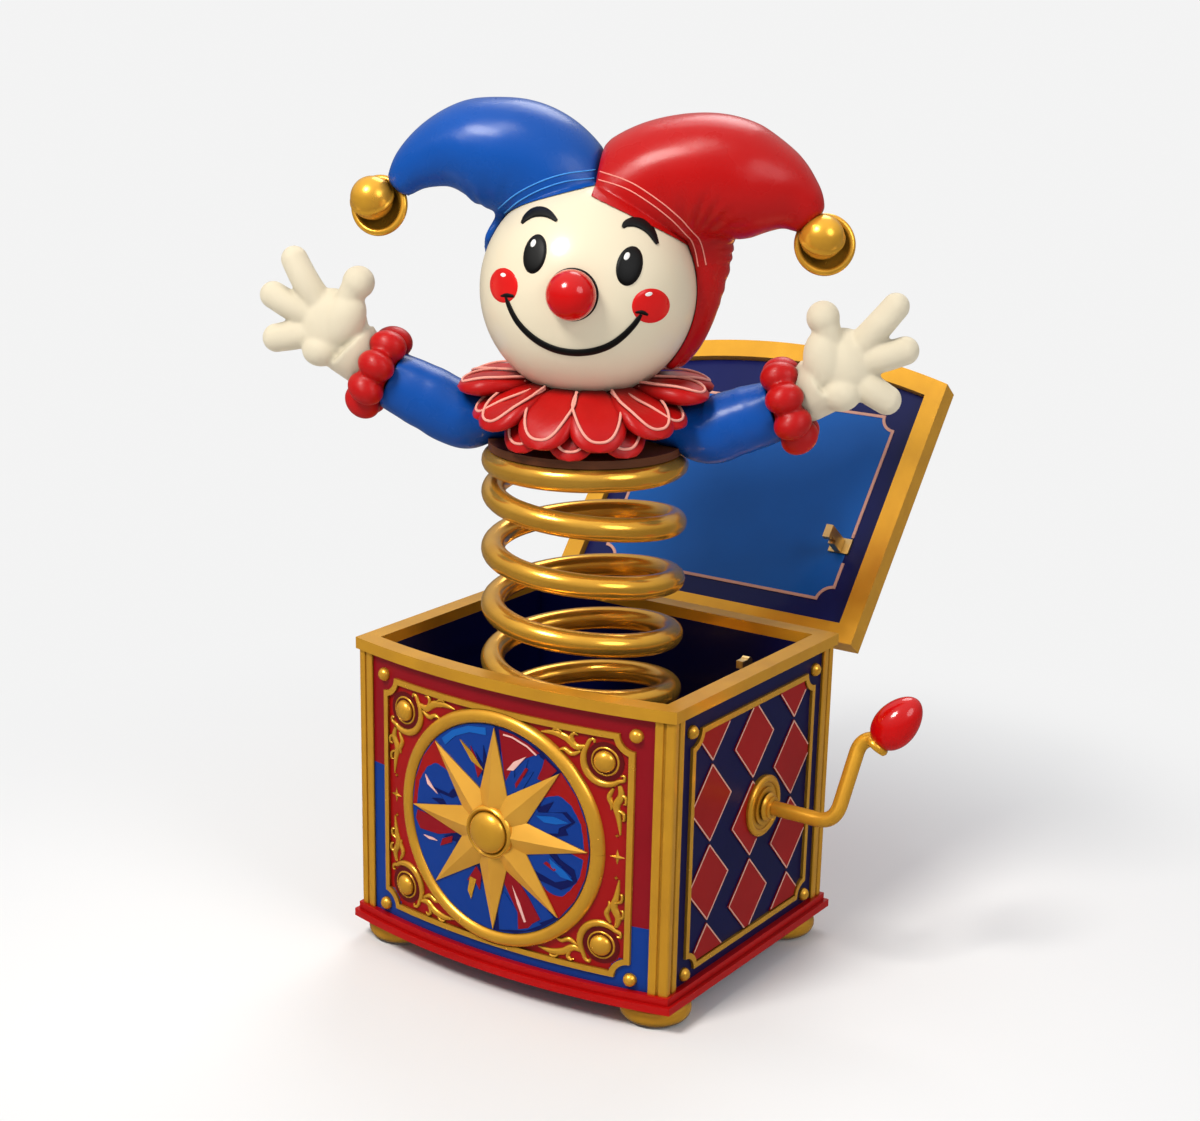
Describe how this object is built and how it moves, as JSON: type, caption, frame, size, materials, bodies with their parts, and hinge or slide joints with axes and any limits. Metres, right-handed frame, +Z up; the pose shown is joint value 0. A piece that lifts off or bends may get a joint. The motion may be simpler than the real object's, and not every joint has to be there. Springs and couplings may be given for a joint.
{
  "type": "jack in the box",
  "caption": "Bow-fronted music box with a crank, a hinged lid and a latch; a jester doll on a coil spring rises from it and is pressed back down to close it.",
  "frame": {"origin": "on the plane the four feet stand on, under the middle of the box's rectangular plan", "axes": "+Z up, -Y out of the bowed front, +X out of the crank side"},
  "size_m": [0.2341, 0.2341, 0.3249],
  "materials": {
    "brass_trim": "polished, lacquered",
    "brass_works": "satin",
    "steel_works": "satin",
    "brass_spring": "bright drawn wire",
    "red_lacquer": "red gloss lacquer",
    "navy_lacquer": "dark blue gloss lacquer",
    "blue_lacquer": "blue gloss lacquer",
    "pale_inlay": "pale gloss line",
    "turned_wood": "satin turned wood",
    "cream_paint": "satin cream paint",
    "red_paint": "gloss red paint",
    "black_paint": "gloss black paint",
    "blue_satin": "stuffed satin",
    "red_satin": "stuffed satin",
    "cream_cloth": "stuffed cotton glove"
  },
  "bodies": {
    "box": {"floor_board": "navy_lacquer", "base_plinth": "red_lacquer", "feet": "brass_trim", "front_wall": "red_lacquer", "back_wall": "navy_lacquer", "left_wall": "navy_lacquer", "right_wall": "navy_lacquer", "corner_posts": "brass_trim", "top_rim": "brass_trim", "front_line_frame": "brass_trim", "side_line_frames": "brass_trim", "frame_studs": "brass_trim", "medallion_disc": "blue_lacquer", "medallion_ring": "brass_trim", "medallion_star": "brass_trim", "star_hub": "brass_trim", "corner_bosses": "brass_trim", "diamonds_right": "red_lacquer", "diamonds_others": "red_lacquer", "crank_escutcheon": "brass_trim", "crank_bushing": "brass_trim", "hinge_box_leaves": "brass_trim", "hinge_pins": "brass_trim", "movement_frame": "brass_works", "comb": "steel_works", "comb_screws": "steel_works", "latch_bracket": "brass_works", "spring_seat": "turned_wood", "coil_spring": "brass_spring"},
    "crank": {"crank_rod": "brass_trim", "crank_knob": "red_lacquer", "crank_pinion": "brass_works", "crank_collar": "brass_trim"},
    "cylinder": {"music_cylinder": "brass_works", "cylinder_gear": "brass_works", "cylinder_arbor": "steel_works"},
    "latch": {"latch_lever": "brass_works"},
    "lid": {"lid_frame": "brass_trim", "lid_lining": "blue_lacquer", "lid_board": "red_lacquer", "lid_inlay": "pale_inlay", "hinge_lid_leaves": "brass_trim", "lid_strike": "brass_works"},
    "jack": {"neck_plate": "turned_wood", "body_core": "turned_wood", "ruff": "red_satin", "head": "cream_paint", "nose": "red_paint", "eyes": "black_paint", "eyebrows": "black_paint", "mouth": "black_paint", "cheeks": "red_paint", "hat_blue": "blue_satin", "hat_red": "red_satin", "hat_bells": "brass_trim", "sleeve_left": "blue_satin", "sleeve_right": "blue_satin", "cuffs": "red_satin", "hand_left": "cream_cloth", "hand_right": "cream_cloth"}
  },
  "joints": [
    {"name": "jack_press", "type": "slide", "parent": "box", "child": "jack", "axis": [0, 0, -1], "range_m": [0, 0.178], "stiffness_N_per_m": 60, "springref_m": -0.1, "deforming": ["coil_spring", "ruff", "hat_blue", "hat_red", "hat_bells", "sleeve_left", "sleeve_right", "cuffs", "hand_left", "hand_right"]},
    {"name": "lid_swing", "type": "hinge", "parent": "box", "child": "lid", "pos_m": [0, 0.0629, 0.119], "axis": [1, 0, 0], "range_deg": [0, 128]},
    {"name": "crank_turn", "type": "hinge", "parent": "box", "child": "crank", "pos_m": [0.08575, 0.008, 0.069], "axis": [1, 0, 0], "continuous": true},
    {"name": "cylinder_turn", "type": "hinge", "parent": "box", "child": "cylinder", "pos_m": [0.0555, 0.008, 0.0498], "axis": [1, 0, 0], "continuous": true},
    {"name": "latch_swing", "type": "hinge", "parent": "box", "child": "latch", "pos_m": [0.05, 0.025, 0.093], "axis": [1, 0, 0], "range_deg": [-8, 0], "stiffness_Nm_per_rad": 0.08, "springref_deg": 2.86}
  ],
  "couplings": [
    {"joint": "lid_swing", "follows": "jack_press", "rad_per_m": 12.55},
    {"joint": "cylinder_turn", "follows": "crank_turn", "ratio": -0.33333}
  ]
}
